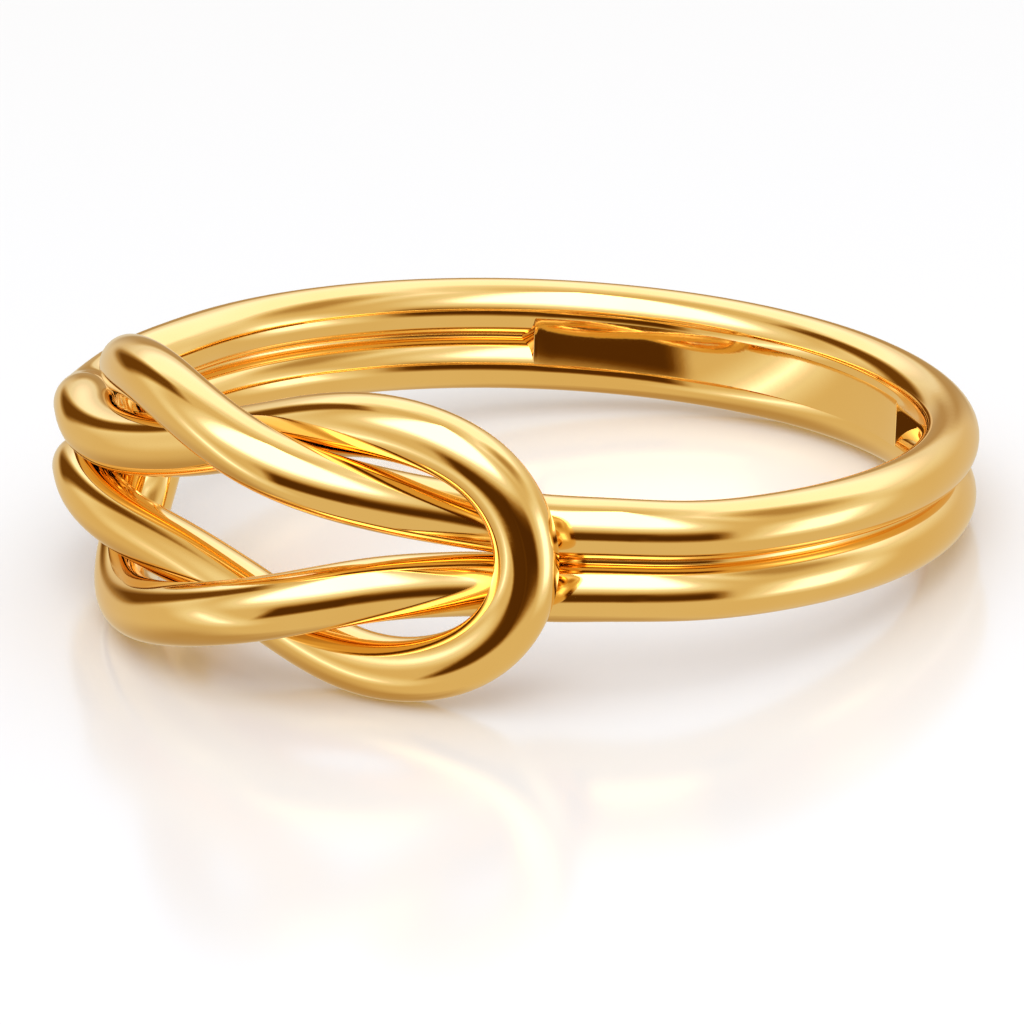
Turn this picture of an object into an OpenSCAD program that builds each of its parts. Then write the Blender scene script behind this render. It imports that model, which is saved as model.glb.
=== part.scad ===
// Knot ring of polished yellow gold wire, lying on its side.
// Two round wires run side by side round the finger and end in two loops of wire,
// which are hooked through each other as a reef knot. A curved plate inside the back ties the two wires.
// All of it is soldered into one piece. Millimetres, +Z up, the knot faces -Y.

/* [Ring] */
// Inside diameter of the wire band, the finger size
inner_d = 17.3; // [15:0.1:21]
// Diameter of the band's round wire
wire_d = 1.3; // [1.1:0.05:1.4]
// Gap between the two wires of the band
wire_gap = 0.02; // [0.01:0.01:0.05]

/* [Knot] */
// Length of the knot round the band, a little less than from the middle of one loop's tip to the other's
knot_l = 15; // [13:0.5:17]
// Height of the knot outside the wire, where an arm's rise is 1
knot_h = 6.8; // [6.4:0.1:7.6]
// Diameter of the wire in the knot, where it is a little thicker than in the band
knot_wire_d = 1.4; // [1.3:0.05:1.5]
// Clearance between two wires where they cross
cross_gap = 0.07; // [0.05:0.01:0.15]

/* [Back plate] */
// Angle that the plate spans at its inner face
plate_span = 71.5; // [40:0.5:90]
// Turn of the plate's middle from the point opposite the knot
plate_turn = 12.5; // [-20:0.5:20]
// Depth of the plate's inner face behind the wires' inside
plate_recess = 0.01; // [0.01:0.01:0.1]
// Slope of the plate's two ends, from square
plate_bevel = 30; // [0:1:45]

/* [Hidden] */
GOLD = "#D9A441";

// Sides of a loop's wire, and rings for each stretch between two rows
wire_sides = 16;
rings = 4;
// How far a loop's ends run into the band, and how much thinner they are there
plug_l = 0.4;
plug_fit = 0.005;
// Width of the solder seam between the two wires, across the gap
seam_w = 0.4;
// Sides of the seam between a loop's legs, and where it ends along the knot
seam_sides = 6;
seam_to = -1.0;
$fn = 96;

wire_r = wire_d / 2;
knot_wire_r = knot_wire_d / 2;
pitch = wire_d + wire_gap;
mid_r = inner_d / 2 + wire_r;
half_l = knot_l / 2;
half_step = (knot_wire_d + cross_gap) / 2;
rise = knot_h / 2 - knot_wire_d - wire_gap / 2;

// Rows that pull the centreline of each loop's wire, from the band to the tip. Columns: place along
// the knot as a share of half its length, 0 at the knot's middle and 1 at the loop's own tip; the
// over loop's step outwards and the under loop's step inwards, where 1 is half a wire and half a
// clearance; thickness, 0 as in the band and 1 as in the knot; then the rise from the height where
// two legs touch towards the knot's top or bottom, for each loop's upper and lower arm.
ALONG = 0;
OVER_STEP = 1;
UNDER_STEP = 2;
THICK = 3;
OVER_UP = 4;
OVER_LOW = 5;
UNDER_UP = 6;
UNDER_LOW = 7;
arm_rows = [
    [-1.95,  0.00,  0.00, 0.0,  0.00, 0.00,  0.00, 0.00],
    [-1.75,  0.00,  0.00, 0.0,  0.00, 0.00,  0.00, 0.00],
    [-1.52,  0.00,  0.00, 0.0,  0.00, 0.00,  0.00, 0.00],
    [-1.28,  0.70,  0.70, 0.5, -0.10, 0.20,  0.00, 0.00],
    [-1.08,  1.20,  1.55, 1.0, -0.30, 0.35, -0.10, 0.10],
    [-0.92,  0.95,  1.65, 1.0, -0.05, 0.05, -0.05, 0.05],
    [-0.76,  0.85,  1.10, 1.0, -0.15, 0.15,  0.05, 0.05],
    [-0.56,  0.20, -0.20, 1.0, -0.15, 0.30,  0.25, 0.05],
    [-0.26, -0.95, -1.35, 1.0,  0.10, 0.40,  0.55, 0.45],
    [ 0.16, -1.30, -0.75, 1.0,  0.60, 0.70,  1.15, 0.95],
    [ 0.56, -0.50,  0.10, 1.0,  1.10, 1.10,  0.75, 1.20],
    [ 0.94,  0.55,  0.75, 1.0,  0.90, 0.75,  0.35, 0.65],
];
// The row at each loop's tip: its place along the knot and its step
over_tip = [1.08, 0.45];
under_tip = [1.08, 1.30];

// Where the smooth curve starts, and the same as an angle round the ring
start_along = (arm_rows[0][ALONG] + 4 * arm_rows[1][ALONG] + arm_rows[2][ALONG]) / 6;
knot_half_angle = -start_along * half_l / mid_r * 180 / PI;
band_angle = 360 - 2 * knot_half_angle;

// One arm as rows of place along, step, height and the wire's radius, in millimetres
function arm(step, column, side) = [
    for (row = arm_rows)
        let (r = wire_r + row[THICK] * (knot_wire_r - wire_r))
        [row[ALONG] * half_l, row[step] * half_step, side * (r + wire_gap / 2 + row[column] * rise), r]
];
function reversed(list) = [for (i = [len(list) - 1 : -1 : 0]) list[i]];

// A whole loop: its upper arm, its tip and its lower arm back to the band
function loop(step, up, low, tip) = concat(
    arm(step, up, 1),
    [[tip[0] * half_l, tip[1] * half_step, 0, knot_wire_r]],
    reversed(arm(step, low, -1))
);

// The smooth curve that four neighbouring rows pull, at the share u of its length
function pulled(a, b, c, d, u) = (
    pow(1 - u, 3) * a
    + (3 * pow(u, 3) - 6 * pow(u, 2) + 4) * b
    + (3 * u + 3 * pow(u, 2) - 3 * pow(u, 3) + 1) * c
    + pow(u, 3) * d
) / 6;
function curve(rows) = [
    for (i = [0 : len(rows) - 4], k = [0 : rings - (i == len(rows) - 4 ? 0 : 1)])
        pulled(rows[i], rows[i + 1], rows[i + 2], rows[i + 3], k / rings)
];

// Bends place along, step and height round the ring. The knot's middle faces -Y.
function angle_at(along) = along / mid_r * 180 / PI - 90;
function outwards(along) = [cos(angle_at(along)), sin(angle_at(along)), 0];
function bent(p) = (mid_r + p[1]) * outwards(p[0]) + [0, 0, p[2]];
function unit(v) = v / norm(v);

// The under loop lies the other way round and is pressed inwards instead of outwards
over_curve = curve(loop(OVER_STEP, OVER_UP, OVER_LOW, over_tip));
under_curve = [
    for (p = curve(loop(UNDER_STEP, UNDER_UP, UNDER_LOW, under_tip))) [-p[0], -p[1], p[2], p[3]]
];

// Two places that end a path inside the band, a little thinner than what they run into
function plug(p) = let (end = p - [0, 0, 0, plug_fit]) [end + [sign(p[0]) * plug_l, 0, 0, 0], end];

// A loop's path with a plug at each end
function plugged(path) = let (last = len(path) - 1)
    concat(plug(path[0]), [for (i = [1 : last - 1]) path[i]], reversed(plug(path[last])));

// The seam's path midway between a loop's two legs, from the band towards the knot
function leg_seam(path) = let (
    way = sign(path[0][0]),
    last = len(path) - 1,
    middle = [for (i = [0 : floor(last / 2)]) (path[i] + path[last - i]) / 2],
    seam = [for (p = middle) if (way * p[0] > -seam_to * half_l) [p[0], p[1], p[2], seam_w / 2]]
) concat(plug(seam[0]), [for (i = [1 : len(seam) - 1]) seam[i]]);

// Points of the wire's skin: a ring of points round each place of the path
function skin(path, sides) = [
    for (i = [0 : len(path) - 1])
        let (
            here = bent(path[i]),
            ahead = bent(path[min(i + 1, len(path) - 1)]),
            behind = bent(path[max(i - 1, 0)]),
            run = unit(ahead - behind),
            out = outwards(path[i][0]),
            normal = unit(out - (out * run) * run),
            across = cross(run, normal)
        )
        for (k = [0 : sides - 1])
            let (a = 360 * k / sides)
            here + path[i][3] * (cos(a) * normal + sin(a) * across)
];

// Triangles between neighbouring rings, and one face over each end
function skin_faces(count, sides) = concat(
    [[for (k = [0 : sides - 1]) k]],
    [
        for (i = [0 : count - 2], k = [0 : sides - 1], t = [0, 1])
            let (
                a = i * sides + k,
                b = i * sides + (k + 1) % sides,
                c = b + sides,
                d = a + sides
            )
            t == 0 ? [a, c, b] : [a, d, c]
    ],
    [[for (k = [sides - 1 : -1 : 0]) (count - 1) * sides + k]]
);

// The plane that the ring rests on touches one low place of each loop and the band's lower wire at
// the back. Each pass takes the three places that are lowest along the last plane's upright.
band_foot = [for (a = [0 : 3 : 357]) [mid_r * cos(a), mid_r * sin(a), -pitch / 2, wire_r]];
over_places = [for (p = over_curve) concat(bent(p), p[3])];
under_places = [for (p = under_curve) concat(bent(p), p[3])];
function spot(p) = [p[0], p[1], p[2]];
function lowest(places, up) = let (
    levels = [for (p = places) spot(p) * up - p[3]],
    p = places[search(min(levels), levels)[0]]
) spot(p) - p[3] * up;
function upright(up, passes) = passes == 0 ? up : let (
    a = lowest(under_places, up),
    b = lowest(over_places, up),
    c = lowest([for (p = band_foot) if (p[1] > 0) p], up)
) upright(unit(cross(b - a, c - a)), passes - 1);
up = upright([0, 0, 1], 5);
tip_axis = cross(up, [0, 0, 1]);
tip_angle = acos(up[2]);

// Turns a place about an axis through the origin, as the ring itself is tipped
function tipped(p) = let (k = unit(tip_axis))
    p * cos(tip_angle) + cross(k, p) * sin(tip_angle) + k * (k * p) * (1 - cos(tip_angle));
band_head = [for (p = band_foot) [p[0], p[1], pitch / 2, wire_r]];
all_places = [
    for (p = concat(over_places, under_places, band_foot, band_head)) concat(tipped(spot(p)), p[3])
];
function low(axis) = min([for (p = all_places) p[axis] - p[3]]);
function high(axis) = max([for (p = all_places) p[axis] + p[3]]);
centre = [(low(0) + high(0)) / 2, (low(1) + high(1)) / 2, low(2)];

// The two wires side by side with the solder seam between them, round the back
module band_wires() {
    color(GOLD)
    rotate_extrude(angle = band_angle, start = knot_half_angle - 90) {
        for (side = [-1, 1])
            translate([mid_r, side * pitch / 2])
            circle(wire_r);
        translate([mid_r - seam_w / 2, -wire_r / 2])
        square([seam_w, wire_r]);
    }
}

// The plate that fills the groove inside the back, flush with the wires, with sloping ends
module back_plate() {
    face_r = inner_d / 2 + plate_recess;
    depth = mid_r - face_r;
    spare = atan(depth * tan(plate_bevel) / face_r) + 1;
    color(GOLD)
    rotate(90 + plate_turn)
    difference() {
        rotate_extrude(angle = plate_span + 2 * spare, start = -plate_span / 2 - spare)
            translate([face_r, -pitch / 2])
            square([depth, pitch]);
        for (side = [-1, 1])
            rotate(side * plate_span / 2)
            translate([face_r, 0, 0])
            rotate(side * plate_bevel)
            translate([-wire_d, side > 0 ? 0 : -3 * wire_d, -pitch])
            cube([4 * wire_d, 3 * wire_d, 2 * pitch]);
    }
}

module tube(path, sides) {
    polyhedron(points = skin(path, sides), faces = skin_faces(len(path), sides), convexity = 6);
}

// One loop of wire with its two legs, and the seam between the legs
module wire_loop(path) {
    color(GOLD) {
        tube(plugged(path), wire_sides);
        tube(leg_seam(path), seam_sides);
    }
}

module knot_ring() {
    translate(-centre)
    rotate(a = tip_angle, v = tip_axis)
    union() {
        band_wires();
        back_plate();
        wire_loop(over_curve);
        wire_loop(under_curve);
    }
}

knot_ring();
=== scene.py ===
"""Knot ring of polished yellow gold wire, lying on its side on a glossy white table.

One round wire runs twice round the finger and ends in two loops that are hooked through each other
as a reef knot. A curved plate inside the back ties the band's two wires, and a seam of solder holds
them together. Lengths are in millimetres until a mesh is made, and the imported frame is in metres:
+Z is up from the table, and the knot faces -Y.
"""

import logging
import math
from dataclasses import dataclass, field
from enum import Enum
from typing import NamedTuple

import bpy
import numpy as np
from mathutils import Matrix, Vector


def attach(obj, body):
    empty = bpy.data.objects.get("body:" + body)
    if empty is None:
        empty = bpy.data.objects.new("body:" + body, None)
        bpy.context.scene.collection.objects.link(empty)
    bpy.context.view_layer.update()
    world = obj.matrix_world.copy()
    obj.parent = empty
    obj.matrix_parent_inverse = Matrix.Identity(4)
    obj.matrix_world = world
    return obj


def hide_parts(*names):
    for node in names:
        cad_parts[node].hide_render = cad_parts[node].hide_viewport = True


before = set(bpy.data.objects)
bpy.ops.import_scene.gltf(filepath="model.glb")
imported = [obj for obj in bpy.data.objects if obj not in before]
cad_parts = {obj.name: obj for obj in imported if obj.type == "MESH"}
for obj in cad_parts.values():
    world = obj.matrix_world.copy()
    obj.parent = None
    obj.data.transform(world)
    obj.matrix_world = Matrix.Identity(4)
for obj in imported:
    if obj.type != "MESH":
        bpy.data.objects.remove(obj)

MM = 0.001
LOG = logging.getLogger("knot_ring")


class Side(Enum):
    """The two sides of the band, as the sign of their height."""

    UPPER = 1
    LOWER = -1


class ArmRow(NamedTuple):
    """One row that pulls the centrelines of the loops' arms, from the band to the tip.

    along is a share of half the knot's length, 0 at the knot's middle and 1 at the loop's own tip.
    The over loop's step goes outwards and the under loop's inwards, where 1 is half a wire and half a
    clearance. thick is 0 where the wire is as thin as the band's and 1 where it is as thick as the
    knot's. The other four are the rise of each arm from the height where two legs touch towards the
    knot's top or bottom.
    """

    along: float
    over_step: float
    under_step: float
    thick: float
    over_up: float
    over_low: float
    under_up: float
    under_low: float


ARM_ROWS = (
    ArmRow(-1.95, 0.00, 0.00, 0.0, 0.00, 0.00, 0.00, 0.00),
    ArmRow(-1.75, 0.00, 0.00, 0.0, 0.00, 0.00, 0.00, 0.00),
    ArmRow(-1.52, 0.00, 0.00, 0.0, 0.00, 0.00, 0.00, 0.00),
    ArmRow(-1.28, 0.70, 0.70, 0.5, -0.10, 0.20, 0.00, 0.00),
    ArmRow(-1.08, 1.20, 1.55, 1.0, -0.30, 0.35, -0.10, 0.10),
    ArmRow(-0.92, 0.95, 1.65, 1.0, -0.05, 0.05, -0.05, 0.05),
    ArmRow(-0.76, 0.85, 1.10, 1.0, -0.15, 0.15, 0.05, 0.05),
    ArmRow(-0.56, 0.20, -0.20, 1.0, -0.15, 0.30, 0.25, 0.05),
    ArmRow(-0.26, -0.95, -1.35, 1.0, 0.10, 0.40, 0.55, 0.45),
    ArmRow(0.16, -1.30, -0.75, 1.0, 0.60, 0.70, 1.15, 0.95),
    ArmRow(0.56, -0.50, 0.10, 1.0, 1.10, 1.10, 0.75, 1.20),
    ArmRow(0.94, 0.55, 0.75, 1.0, 0.90, 0.75, 0.35, 0.65),
)


class Loop(Enum):
    """The knot's two loops: name, place and step of the tip, and which way the loop lies."""

    OVER = ("over", (1.08, 0.45), 1)
    UNDER = ("under", (1.08, 1.30), -1)

    @property
    def tip(self) -> tuple[float, float]:
        """Place along the knot and step of the row at the loop's tip."""
        return self.value[1]

    @property
    def way(self) -> int:
        """1 for the loop whose tip lies towards +X and steps outwards, -1 for the other."""
        return self.value[2]

    def pick(self, row: ArmRow, column: str) -> float:
        """One of the loop's own values of a row.

        Args:
            row: The row to read.
            column: "step", or "up" or "low" for the rise of that arm.

        Returns:
            The value.
        """
        return getattr(row, f"{self.value[0]}_{column}")


@dataclass(frozen=True)
class RingSizes:
    """The ring's real sizes in millimetres and degrees, the same as in the part's source."""

    inner_d: float = 17.3
    wire_d: float = 1.3
    wire_gap: float = 0.02
    knot_l: float = 15.0
    knot_h: float = 6.8
    knot_wire_d: float = 1.4
    cross_gap: float = 0.07
    plate_span: float = 71.5
    plate_turn: float = 12.5
    plate_recess: float = 0.01
    plate_bevel: float = 30.0
    seam_w: float = 0.4
    seam_to: float = -1.0

    @property
    def wire_r(self) -> float:
        """Radius of the band's wire."""
        return self.wire_d / 2

    @property
    def knot_wire_r(self) -> float:
        """Radius of the knot's wire."""
        return self.knot_wire_d / 2

    @property
    def pitch(self) -> float:
        """Distance between the middles of the band's two wires."""
        return self.wire_d + self.wire_gap

    @property
    def mid_r(self) -> float:
        """Radius of the circle that each of the band's wires follows."""
        return self.inner_d / 2 + self.wire_r

    @property
    def half_step(self) -> float:
        """Half a wire and half the clearance between two wires that cross."""
        return (self.knot_wire_d + self.cross_gap) / 2

    @property
    def rise(self) -> float:
        """Height of the knot's top wire over the place where it touches the other leg."""
        return self.knot_h / 2 - self.knot_wire_d - self.wire_gap / 2


@dataclass
class Centreline:
    """The middle line of the wire: places along the knot, outwards and upwards, and the radius."""

    sizes: RingSizes
    rings: int = 14
    band_rings: int = 200

    def arm(self, loop: Loop, column: str, side: Side) -> list[list[float]]:
        """One arm's rows.

        Args:
            loop: Which of the two loops the arm belongs to.
            column: "up" or "low", the arm's own column in the rows.
            side: Whether the arm joins the band's upper or lower wire.

        Returns:
            Rows of place along, step, height and the wire's radius, in millimetres.
        """
        s = self.sizes
        rows = []
        for row in ARM_ROWS:
            radius = s.wire_r + row.thick * (s.knot_wire_r - s.wire_r)
            height = radius + s.wire_gap / 2 + loop.pick(row, column) * s.rise
            step = loop.pick(row, "step") * s.half_step
            rows.append([row.along * s.knot_l / 2, step, side.value * height, radius])
        return rows

    def loop(self, loop: Loop) -> np.ndarray:
        """A loop's smooth middle line, from its upper leg over the tip to its lower leg.

        Args:
            loop: Which of the two loops.

        Returns:
            Along, outwards, upwards and the radius of each place, in millimetres.
        """
        s = self.sizes
        along, step = loop.tip
        tip = [[along * s.knot_l / 2, step * s.half_step, 0.0, s.knot_wire_r]]
        pull = np.array(
            self.arm(loop, "up", Side.UPPER) + tip + self.arm(loop, "low", Side.LOWER)[::-1]
        )
        share = np.arange(self.rings) / self.rings
        weights = np.stack(
            [
                (1 - share) ** 3,
                3 * share**3 - 6 * share**2 + 4,
                1 + 3 * share + 3 * share**2 - 3 * share**3,
                share**3,
            ],
            axis=1,
        )
        stretches = [weights @ pull[i : i + 4] / 6 for i in range(len(pull) - 3)]
        end = (pull[-3] + 4 * pull[-2] + pull[-1]) / 6
        return np.vstack([*stretches, end]) * [loop.way, loop.way, 1, 1]

    def bent(self, places: np.ndarray) -> np.ndarray:
        """Bends places along, outwards and upwards round the ring.

        Args:
            places: One row of along, outwards, upwards and the radius each, in millimetres.

        Returns:
            Points about the ring's own middle and the radius there, in millimetres.
        """
        angle = places[:, 0] / self.sizes.mid_r - math.pi / 2
        reach = self.sizes.mid_r + places[:, 1]
        return np.column_stack([reach * np.cos(angle), reach * np.sin(angle), places[:, 2:]])

    def band(self, start: float, end: float, height: float, radius: float) -> np.ndarray:
        """Places between two loops, round the band.

        Args:
            start: Where the run starts along the knot. The place itself is left out.
            end: Where it ends, which is left out too.
            height: Height of the run.
            radius: Radius of what runs there.

        Returns:
            Along, outwards, upwards and the radius of each place, in millimetres.
        """
        along = np.linspace(start, end, self.band_rings + 1)[1:-1]
        rest = np.broadcast_to([0.0, height, radius], (len(along), 3))
        return np.column_stack([along, rest])

    def closed(self) -> np.ndarray:
        """The whole wire as one closed line, through both loops and twice round the band.

        Returns:
            Points about the ring's own middle with the radius. The last leads back to the first.
        """
        s = self.sizes
        over, under = self.loop(Loop.OVER), self.loop(Loop.UNDER)
        start, round_l = over[0, 0], 2 * math.pi * s.mid_r
        low = self.band(start, -round_l - start, -s.pitch / 2, s.wire_r)
        high = self.band(-start, round_l + start, s.pitch / 2, s.wire_r)
        return self.bent(np.vstack([over, low, under[::-1], high]))

    def seam(self) -> np.ndarray:
        """The line midway between the two wires, from one loop's legs round the band to the other's.

        Returns:
            Points about the ring's own middle with half the seam's width, in millimetres.
        """
        s = self.sizes
        legs = []
        for loop in Loop:
            path = self.loop(loop)
            middle = (path + path[::-1])[: len(path) // 2] / 2
            in_legs = -loop.way * middle[:, 0] > -s.seam_to * s.knot_l / 2
            legs.append(middle[in_legs] * [1, 1, 1, 0])
        over, under = legs
        start, round_l = over[0, 0], 2 * math.pi * s.mid_r
        band = self.band(start, -round_l - start, 0.0, 0.0)
        seam = self.bent(np.vstack([over[::-1], band, under]))
        seam[:, 3] = s.seam_w / 2
        return seam


@dataclass
class RestingPlane:
    """How the ring lies: tipped onto one low place of each loop and the band's back."""

    sizes: RingSizes
    line: Centreline

    def places(self) -> tuple[np.ndarray, np.ndarray, np.ndarray]:
        """Middle-line points of the over loop, the under loop and the band's lower wire."""
        s = self.sizes
        turn = np.radians(np.arange(0, 360, 3))
        flat = np.broadcast_to([-s.pitch / 2, s.wire_r], (len(turn), 2))
        band = np.column_stack([s.mid_r * np.cos(turn), s.mid_r * np.sin(turn), flat])
        over = self.line.bent(self.line.loop(Loop.OVER))
        under = self.line.bent(self.line.loop(Loop.UNDER))
        return over, under, band

    def matrix(self) -> Matrix:
        """The move from the ring's own middle to where it lies on the table, in millimetres."""
        over, under, band = self.places()
        back = band[band[:, 1] > 0]
        up = np.array([0.0, 0.0, 1.0])
        for _ in range(5):
            feet = []
            for places in (under, over, back):
                lowest = places[np.argmin(places[:, :3] @ up - places[:, 3])]
                feet.append(lowest[:3] - lowest[3] * up)
            up = np.cross(feet[1] - feet[0], feet[2] - feet[0])
            up /= np.linalg.norm(up)
        tip = Vector(up).rotation_difference(Vector((0, 0, 1))).to_matrix()
        outline = np.vstack([over, under, band, band * [1, 1, -1, 1]])
        lying = outline[:, :3] @ np.array(tip).T
        low = (lying - outline[:, 3:]).min(axis=0)
        high = (lying + outline[:, 3:]).max(axis=0)
        middle = Vector(((low[0] + high[0]) / 2, (low[1] + high[1]) / 2, low[2]))
        return Matrix.Translation(-middle) @ tip.to_4x4()


def swept(path: np.ndarray, sides: int, closed: bool) -> tuple[np.ndarray, list[tuple[int, ...]]]:
    """Sweeps a circle along a line about the ring's axis.

    Args:
        path: Points of the line with the circle's radius, in millimetres.
        sides: How many sides the circle has.
        closed: Whether the line's last point leads back to its first.

    Returns:
        The points of the skin, and its faces as tuples of point numbers.
    """
    line = path[:, :3]
    if closed:
        run = np.roll(line, -1, axis=0) - np.roll(line, 1, axis=0)
    else:
        run = np.gradient(line, axis=0)
    run /= np.linalg.norm(run, axis=1, keepdims=True)
    out = line * [1, 1, 0]
    out /= np.linalg.norm(out, axis=1, keepdims=True)
    normal = out - (out * run).sum(axis=1, keepdims=True) * run
    normal /= np.linalg.norm(normal, axis=1, keepdims=True)
    across = np.cross(run, normal)
    turn = (np.arange(sides) / sides * 2 * math.pi)[None, :, None]
    ring = np.cos(turn) * normal[:, None] + np.sin(turn) * across[:, None]
    skin = line[:, None] + path[:, None, 3:] * ring
    count = len(path)
    faces: list[tuple[int, ...]] = [
        (i * sides + k, i * sides + (k + 1) % sides, j * sides + (k + 1) % sides, j * sides + k)
        for i, j in ((i, (i + 1) % count) for i in range(count if closed else count - 1))
        for k in range(sides)
    ]
    if not closed:
        faces += [tuple(range(sides))[::-1], tuple(range((count - 1) * sides, count * sides))]
    return skin.reshape(-1, 3), faces


def linear(code: str) -> tuple[float, float, float, float]:
    """Turns an sRGB hex colour to linear light.

    Args:
        code: A colour such as "#F0CB78".

    Returns:
        Red, green, blue and alpha 1.
    """
    shares = (int(code[i : i + 2], 16) / 255 for i in (1, 3, 5))
    light = [c / 12.92 if c <= 0.04045 else ((c + 0.055) / 1.055) ** 2.4 for c in shares]
    return (light[0], light[1], light[2], 1.0)


def add_node(tree: bpy.types.NodeTree, kind: str, values: dict | None = None, **settings) -> bpy.types.Node:
    """Adds a node with its settings, and sets or links its inputs.

    Args:
        tree: The node tree.
        kind: Blender's name of the node type.
        values: Input name or number to a value, or to the output socket that feeds it.
        **settings: The node's own properties.

    Returns:
        The new node.
    """
    node = tree.nodes.new(kind)
    for name, value in settings.items():
        setattr(node, name, value)
    for key, value in (values or {}).items():
        if isinstance(value, bpy.types.NodeSocket):
            tree.links.new(value, node.inputs[key])
        else:
            node.inputs[key].default_value = value
    return node


def new_material(name: str) -> bpy.types.Material:
    """An empty node material of that name."""
    material = bpy.data.materials.new(name)
    material.use_nodes = True
    material.node_tree.nodes.clear()
    return material


@dataclass(frozen=True)
class PolishedYellowGold:
    """14 karat yellow gold, buffed to a mirror.

    A mirror with a warm body colour: it shows the tent's white as cream and its dark edges as thin
    brown lines. Buffing leaves faint hairlines and a slight unevenness of the gloss.
    """

    name: str = "polished_yellow_gold"
    colour: str = "#FBD485"
    deeper: str = "#F8CC78"
    roughness: float = 0.05
    patch_mm: float = 5.0
    hairline_mm: float = 0.25
    hairline_depth_mm: float = 0.0006

    def material(self) -> bpy.types.Material:
        """Builds the gold.

        Returns:
            The material, with its tone, gloss and hairlines drawn in the object's own space.
        """
        made = new_material(self.name)
        tree = made.node_tree
        place = add_node(tree, "ShaderNodeTexCoord").outputs["Object"]
        tone = add_node(
            tree,
            "ShaderNodeTexNoise",
            {"Vector": place, "Scale": 1 / (self.patch_mm * MM), "Detail": 3.0, "Roughness": 0.5},
        )
        mix = add_node(tree, "ShaderNodeValToRGB", {"Fac": tone.outputs["Fac"]})
        mix.color_ramp.elements[0].position = 0.3
        mix.color_ramp.elements[0].color = linear(self.deeper)
        mix.color_ramp.elements[1].position = 0.6
        mix.color_ramp.elements[1].color = linear(self.colour)
        gloss = add_node(
            tree,
            "ShaderNodeMapRange",
            {"Value": tone.outputs["Fac"], "To Min": self.roughness * 0.8, "To Max": self.roughness * 1.3},
        )
        lines = add_node(
            tree,
            "ShaderNodeTexNoise",
            {"Vector": place, "Scale": 1 / (self.hairline_mm * MM), "Detail": 4.0, "Roughness": 0.6},
        )
        bump = add_node(
            tree,
            "ShaderNodeBump",
            {"Height": lines.outputs["Fac"], "Distance": self.hairline_depth_mm * MM, "Strength": 1.0},
        )
        gold = add_node(
            tree,
            "ShaderNodeBsdfPrincipled",
            {
                "Base Color": mix.outputs["Color"],
                "Metallic": 1.0,
                "Roughness": gloss.outputs["Result"],
                "Normal": bump.outputs["Normal"],
            },
        )
        add_node(tree, "ShaderNodeOutputMaterial", {"Surface": gold.outputs["BSDF"]})
        return made


@dataclass(frozen=True)
class GlossyWhiteAcrylic:
    """Cast acrylic sheet, white and glossy: a bright field that mirrors the ring softly.

    shine is the shader's specular level, where 0.5 is plain acrylic. Here it is a little more, for the
    clear reflection under the ring.
    """

    name: str = "glossy_white_acrylic"
    colour: str = "#F4F4F5"
    ior: float = 1.49
    roughness: float = 0.16
    shine: float = 0.7

    def material(self) -> bpy.types.Material:
        """Builds the acrylic of the table.

        Returns:
            The material.
        """
        made = new_material(self.name)
        tree = made.node_tree
        sheet = add_node(
            tree,
            "ShaderNodeBsdfPrincipled",
            {
                "Base Color": linear(self.colour),
                "Roughness": self.roughness,
                "IOR": self.ior,
                "Specular IOR Level": self.shine,
            },
        )
        add_node(tree, "ShaderNodeOutputMaterial", {"Surface": sheet.outputs["BSDF"]})
        return made


def make_piece(name: str, points: np.ndarray, faces: list, move: Matrix) -> bpy.types.Object:
    """Makes a smooth-shaded mesh that rides on the ring and stands for its solid.

    Args:
        name: Name of the piece.
        points: Its points about the ring's own middle, in millimetres.
        faces: Tuples of point numbers.
        move: The move to where the ring lies, in millimetres.

    Returns:
        The new object.
    """
    mesh = bpy.data.meshes.new(name)
    mesh.from_pydata(points.tolist(), [], faces)
    mesh.transform(Matrix.Scale(MM, 4) @ move)
    mesh.update()
    mesh.shade_smooth()
    piece = bpy.data.objects.new(name, mesh)
    bpy.context.scene.collection.objects.link(piece)
    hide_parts("knot_ring")
    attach(piece, "root")
    LOG.info("%s: %d points, %d faces", name, len(mesh.vertices), len(mesh.polygons))
    return piece


@dataclass
class KnottedWire:
    """The round wire: both loops of the knot and the band's two wires, in one closed run."""

    line: Centreline
    sides: int = 48

    def build(self, move: Matrix) -> bpy.types.Object:
        """Sweeps a circle along the wire's middle line.

        Args:
            move: The move to where the ring lies.

        Returns:
            The wire.
        """
        return make_piece("knotted_wire", *swept(self.line.closed(), self.sides, True), move)


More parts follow.
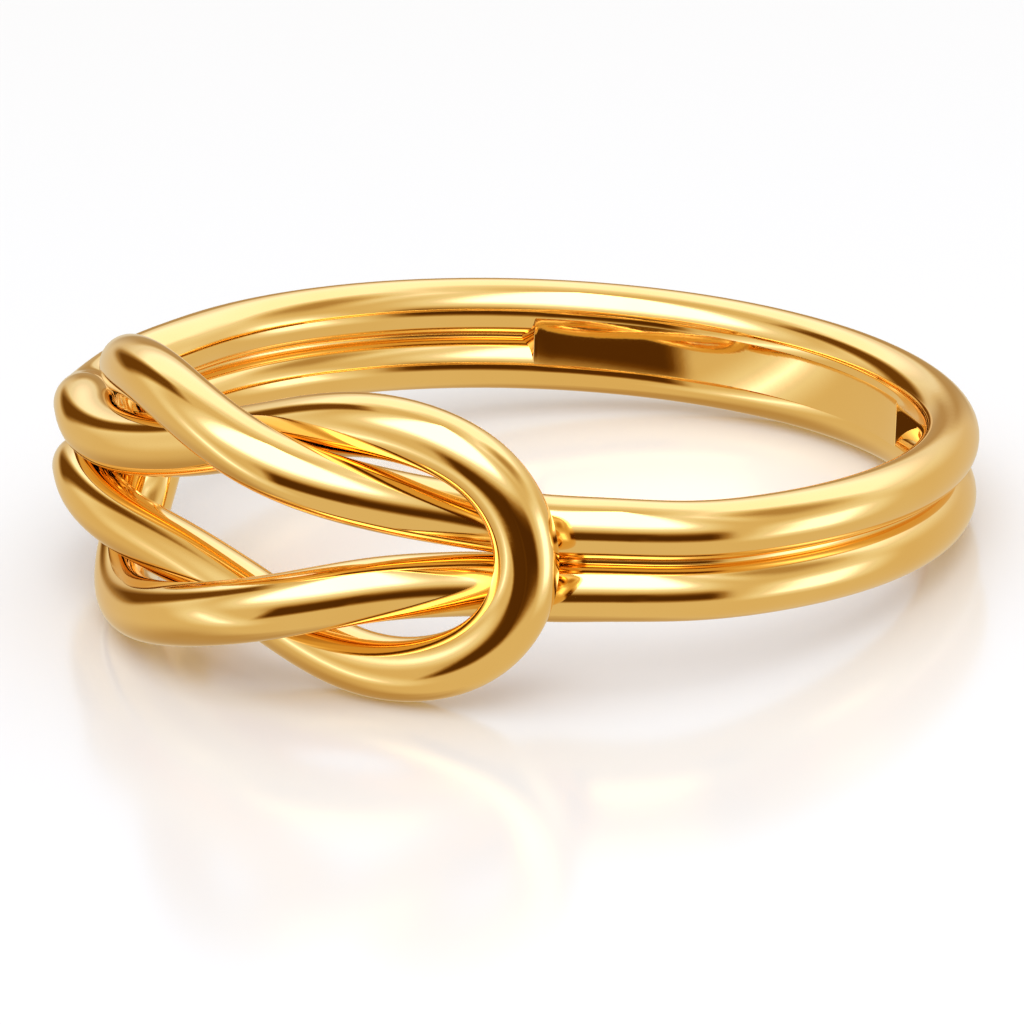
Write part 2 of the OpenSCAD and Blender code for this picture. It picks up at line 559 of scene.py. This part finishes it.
@dataclass
class BackPlate:
    """The curved plate in the groove inside the back, flush with the wires."""

    sizes: RingSizes
    stations: int = 120
    edge_mm: float = 0.02

    def build(self, move: Matrix) -> bpy.types.Object:
        """Sweeps the plate's cross-section round the back, with sloping ends.

        Args:
            move: The move to where the ring lies.

        Returns:
            The plate.
        """
        s = self.sizes
        face_r = s.inner_d / 2 + s.plate_recess
        depth = s.mid_r - face_r
        spare = math.degrees(math.atan(depth * math.tan(math.radians(s.plate_bevel)) / face_r))
        middle = 90 + s.plate_turn
        share = np.linspace(-1, 1, self.stations)
        corners = []
        for radius, reach, height in (
            (face_r, s.plate_span / 2, -s.pitch / 2),
            (face_r, s.plate_span / 2, s.pitch / 2),
            (s.mid_r, s.plate_span / 2 + spare, s.pitch / 2),
            (s.mid_r, s.plate_span / 2 + spare, -s.pitch / 2),
        ):
            angle = np.radians(middle + share * reach)
            level = np.full_like(angle, height)
            corners.append(np.stack([radius * np.cos(angle), radius * np.sin(angle), level], axis=1))
        points = np.stack(corners, axis=1).reshape(-1, 3)
        faces = [
            (4 * i + k, 4 * i + (k + 1) % 4, 4 * i + 4 + (k + 1) % 4, 4 * i + 4 + k)
            for i in range(self.stations - 1)
            for k in range(4)
        ]
        last = 4 * (self.stations - 1)
        faces += [(3, 2, 1, 0), (last, last + 1, last + 2, last + 3)]
        plate = make_piece("back_plate", points, faces, move)
        rounding = plate.modifiers.new("filed_edges", "BEVEL")
        rounding.width = self.edge_mm * MM
        rounding.segments = 3
        rounding.limit_method = "ANGLE"
        rounding.angle_limit = math.radians(30)
        return plate


@dataclass
class SolderSeam:
    """The gold solder that fills the narrowest part of the groove between the two wires."""

    line: Centreline
    sides: int = 6

    def build(self, move: Matrix) -> bpy.types.Object:
        """Sweeps the seam along the groove, from the over loop's legs to the under loop's.

        Args:
            move: The move to where the ring lies.

        Returns:
            The seam.
        """
        return make_piece("solder_seam", *swept(self.line.seam(), self.sides, False), move)


@dataclass
class PhotoCamera:
    """The camera at the photograph's place, worked out from the band's outlines.

    The direction is given in the ring's own frame, because the knot's turn is seen from there.
    """

    lens_mm: float = 310.2
    distance_mm: float = 197.13
    height_deg: float = 16.087
    knot_turn_deg: float = 47.9
    look_x_mm: float = -0.4002
    look_z_mm: float = -1.5962
    roll_deg: float = 2.164

    def build(self, move: Matrix) -> bpy.types.Object:
        """Places the camera.

        Args:
            move: The move to where the ring lies.

        Returns:
            The camera object.
        """
        height = math.radians(self.height_deg)
        eye = self.distance_mm * Vector((0, -math.cos(height), math.sin(height)))
        aim = (Vector((self.look_x_mm, 0, self.look_z_mm)) - eye).normalized()
        right = aim.cross(Vector((0, 0, 1))).normalized()
        up = right.cross(aim)
        roll = math.radians(self.roll_deg)
        level, upright = right.copy(), up.copy()
        right = math.cos(roll) * level + math.sin(roll) * upright
        up = -math.sin(roll) * level + math.cos(roll) * upright
        axes = Matrix((right, up, -aim)).transposed().to_4x4()
        turned = Matrix.Rotation(math.radians(self.knot_turn_deg), 4, "Z")
        place = move @ turned @ Matrix.Translation(eye) @ axes
        place.translation *= MM
        data = bpy.data.cameras.new("photo_camera")
        data.lens = self.lens_mm
        data.sensor_width = 36.0
        data.clip_start = 0.001
        camera = bpy.data.objects.new("photo_camera", data)
        camera.matrix_world = place
        bpy.context.scene.collection.objects.link(camera)
        bpy.context.scene.camera = camera
        return camera


@dataclass
class GlossyTable:
    """The pale table that the ring lies on."""

    finish: GlossyWhiteAcrylic = field(default_factory=GlossyWhiteAcrylic)
    half_mm: float = 3000.0

    def build(self) -> bpy.types.Object:
        """Makes the table's top, at the height of the ring's lowest points.

        Returns:
            The table.
        """
        h = self.half_mm * MM
        mesh = bpy.data.meshes.new("table_top")
        mesh.from_pydata([(-h, -h, 0), (h, -h, 0), (h, h, 0), (-h, h, 0)], [], [(0, 1, 2, 3)])
        table = bpy.data.objects.new("table_top", mesh)
        mesh.materials.append(self.finish.material())
        table.visible_glossy = False
        bpy.context.scene.collection.objects.link(table)
        return table


@dataclass(frozen=True)
class TentPanel:
    """One soft-edged field on the tent's inside, as the mirror of the gold sees it.

    All angles are in degrees. across counts from the camera's own direction, positive to the
    camera's right, and up counts from the horizon. tone goes from 0, dark brown cloth, over 0.8,
    plain white cloth, to 1, a lamp's diffuser.
    """

    name: str
    tone: float
    across: float
    up: float
    half_width: float
    half_height: float
    soft_width: float = 12.0
    soft_height: float = 12.0
    slant: float = 0.0

    def paint(
        self,
        tree: bpy.types.NodeTree,
        across: bpy.types.NodeSocket,
        up: bpy.types.NodeSocket,
        under: bpy.types.NodeSocket | float,
    ) -> bpy.types.NodeSocket:
        """Lays the panel over what is painted so far.

        Args:
            tree: The world's node tree.
            across: The direction's angle across, in degrees.
            up: The direction's angle up, in degrees.
            under: The tone of what lies under the panel.

        Returns:
            The tone with the panel in it.
        """
        shift = add_node(
            tree,
            "ShaderNodeMath",
            {0: up, 1: -self.slant, 2: self.slant * self.up - self.across},
            operation="MULTIPLY_ADD",
        )
        beside = add_node(tree, "ShaderNodeMath", {0: across, 1: shift.outputs[0]}, operation="ADD")
        turned = add_node(
            tree, "ShaderNodeMath", {0: beside.outputs[0], 1: -180.0, 2: 180.0}, operation="WRAP"
        )
        over = add_node(tree, "ShaderNodeMath", {0: up, 1: self.up}, operation="SUBTRACT")
        share = None
        for offset, half, soft in (
            (turned, self.half_width, self.soft_width),
            (over, self.half_height, self.soft_height),
        ):
            far = add_node(tree, "ShaderNodeMath", {0: offset.outputs[0]}, operation="ABSOLUTE")
            edge = add_node(
                tree,
                "ShaderNodeMapRange",
                {
                    "Value": far.outputs[0],
                    "From Min": half - soft / 2,
                    "From Max": half + soft / 2,
                    "To Min": 1.0,
                    "To Max": 0.0,
                },
                interpolation_type="SMOOTHSTEP",
            )
            if share is None:
                share = edge.outputs["Result"]
            else:
                share = add_node(
                    tree, "ShaderNodeMath", {0: share, 1: edge.outputs["Result"]}, operation="MULTIPLY"
                ).outputs[0]
        return add_node(tree, "ShaderNodeMix", {0: share, 2: under, 3: self.tone}).outputs[0]


TENT_PANELS = (
    TentPanel("back wall", 0.91, 150, 45, 85, 28, 40, 30, -0.8),
    TentPanel("floor on the left", 0.52, -135, -55, 45, 22, 40, 30),
    TentPanel("top diffuser", 1.0, -20, 66, 62, 45, 40, 34),
    TentPanel("left card", 0.97, -76, -12, 9, 22, 30, 30, -0.75),
    TentPanel("right card", 0.95, 80, -10, 18, 20, 26, 20, 0.3),
    TentPanel("left flag", 0.22, -128, 26, 12, 26, 12, 12, 0.6),
    TentPanel("right flag", 0.5, 92, 40, 16, 16, 24, 24),
    TentPanel("shade over the camera", 0.42, 0, 3, 44, 7, 18, 20),
    TentPanel("dark camera side, left", 0.12, -20, -9, 23, 13, 11, 12, 0.3),
    TentPanel("dark camera side, right", 0.1, 20, -9, 23, 12, 18, 17),
    TentPanel("far slit", 0.5, 180, 2, 14, 11, 14, 8),
)


def degrees_of(tree: bpy.types.NodeTree, operation: str, values: dict) -> bpy.types.NodeSocket:
    """Adds the nodes that work out an angle.

    Args:
        tree: The world's node tree.
        operation: "ARCTAN2" or "ARCSINE".
        values: The inputs of that operation.

    Returns:
        The angle in degrees.
    """
    angle = add_node(tree, "ShaderNodeMath", values, operation=operation)
    return add_node(tree, "ShaderNodeMath", {0: angle.outputs[0]}, operation="DEGREES").outputs[0]


@dataclass
class LightTent:
    """The tent round the ring: even white light on the table, and the panels that the gold mirrors.

    What is matt is lit by white cloth, brighter towards the top, and by a key light over the camera.
    What is mirrored shows the panels, where each tone has the colour that the cloth gives it, and
    past plain white a lamp shines through. facing_deg is the camera's direction round the ring.
    """

    facing_deg: float = -43.5
    horizon_glow: float = 0.05
    zenith_glow: float = 1.92
    key_glow: float = 1.7
    key_up_deg: float = 48.0
    key_radius_deg: float = 28.0
    walls_tone: float = 0.68
    white_tone: float = 0.81
    lamp_glow: float = 4.0
    lamp_falloff: float = 2.0
    cloth: tuple[tuple[float, str], ...] = (
        (0.0, "#280A00"),
        (0.22, "#6B4616"),
        (0.46, "#AE8E5C"),
        (0.69, "#E1D4B9"),
        (0.81, "#F5F7F7"),
        (0.93, "#E0E0FF"),
        (1.0, "#FFFFFF"),
    )

    def build(self) -> None:
        """Sets the world: plain white for what is matt, the panels for what is mirrored."""
        world = bpy.data.worlds.new("light_tent")
        bpy.context.scene.world = world
        world.use_nodes = True
        tree = world.node_tree
        tree.nodes.clear()
        way = add_node(tree, "ShaderNodeTexCoord").outputs["Generated"]
        facing = (0, 0, -math.radians(self.facing_deg))
        faced = add_node(tree, "ShaderNodeMapping", {"Vector": way, "Rotation": facing}).outputs[0]
        axes = add_node(tree, "ShaderNodeSeparateXYZ", {0: faced})
        across = degrees_of(tree, "ARCTAN2", {0: axes.outputs["Y"], 1: axes.outputs["X"]})
        up = degrees_of(tree, "ARCSINE", {0: axes.outputs["Z"]})
        plain = self.white_light(tree, faced, up)
        mirrored = self.mirrored_panels(tree, across, up)
        glossy = add_node(tree, "ShaderNodeLightPath").outputs["Is Glossy Ray"]
        light = add_node(tree, "ShaderNodeMixShader", {0: glossy, 1: plain, 2: mirrored})
        add_node(tree, "ShaderNodeOutputWorld", {"Surface": light.outputs[0]})

    def mirrored_panels(
        self, tree: bpy.types.NodeTree, across: bpy.types.NodeSocket, up: bpy.types.NodeSocket
    ) -> bpy.types.NodeSocket:
        """Paints the panels and gives their tones colour and strength.

        Args:
            tree: The world's node tree.
            across: The direction's angle across, in degrees.
            up: The direction's angle up, in degrees.

        Returns:
            The light of the panels.
        """
        tone: bpy.types.NodeSocket | float = self.walls_tone
        for panel in TENT_PANELS:
            tone = panel.paint(tree, across, up, tone)
        ramp = add_node(tree, "ShaderNodeValToRGB", {"Fac": tone})
        while len(ramp.color_ramp.elements) < len(self.cloth):
            ramp.color_ramp.elements.new(1.0)
        for stop, (place, code) in zip(ramp.color_ramp.elements, self.cloth):
            stop.position = place
            stop.color = linear(code)
        lit = add_node(
            tree, "ShaderNodeMapRange", {"Value": tone, "From Min": self.white_tone, "From Max": 1.0}
        )
        eased = add_node(
            tree, "ShaderNodeMath", {0: lit.outputs[0], 1: self.lamp_falloff}, operation="POWER"
        )
        strength = add_node(
            tree,
            "ShaderNodeMath",
            {0: eased.outputs[0], 1: self.lamp_glow - 1, 2: 1.0},
            operation="MULTIPLY_ADD",
        )
        return add_node(
            tree, "ShaderNodeBackground", {"Color": ramp.outputs["Color"], "Strength": strength.outputs[0]}
        ).outputs[0]

    def white_light(
        self, tree: bpy.types.NodeTree, faced: bpy.types.NodeSocket, up: bpy.types.NodeSocket
    ) -> bpy.types.NodeSocket:
        """Lights the table with white cloth and a soft key light over the camera.

        Args:
            tree: The world's node tree.
            faced: The direction, with +X towards the camera.
            up: The direction's angle up, in degrees.

        Returns:
            The white light.
        """
        cloth = add_node(
            tree,
            "ShaderNodeMapRange",
            {"Value": up, "From Max": 90.0, "To Min": self.horizon_glow, "To Max": self.zenith_glow},
        )
        lift = math.radians(self.key_up_deg)
        aim = (math.cos(lift), 0.0, math.sin(lift))
        near = add_node(tree, "ShaderNodeVectorMath", {0: faced, 1: aim}, operation="DOT_PRODUCT")
        key = add_node(
            tree,
            "ShaderNodeMapRange",
            {
                "Value": near.outputs["Value"],
                "From Min": math.cos(math.radians(self.key_radius_deg)),
                "From Max": 1.0,
                "To Max": self.key_glow,
            },
            interpolation_type="SMOOTHSTEP",
        )
        both = add_node(
            tree, "ShaderNodeMath", {0: cloth.outputs["Result"], 1: key.outputs["Result"]}, operation="ADD"
        )
        return add_node(
            tree, "ShaderNodeBackground", {"Color": linear("#FFFFFF"), "Strength": both.outputs[0]}
        ).outputs[0]


def main() -> None:
    """Builds the ring, the table, the tent and the camera in order, and reports each piece."""
    logging.basicConfig(level=logging.INFO, format="%(name)s: %(message)s")
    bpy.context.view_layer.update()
    scene = bpy.context.scene
    scene.view_settings.view_transform = "Standard"
    sizes = RingSizes()
    line = Centreline(sizes)
    move = RestingPlane(sizes, line).matrix()
    gold = PolishedYellowGold().material()
    for part in (KnottedWire(line), BackPlate(sizes), SolderSeam(line)):
        piece = part.build(move)
        piece.data.materials.append(gold)
    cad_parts["knot_ring"].data.materials.clear()
    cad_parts["knot_ring"].data.materials.append(gold)
    GlossyTable().build()
    LightTent().build()
    PhotoCamera().build(move)


if __name__ == "__main__":
    main()
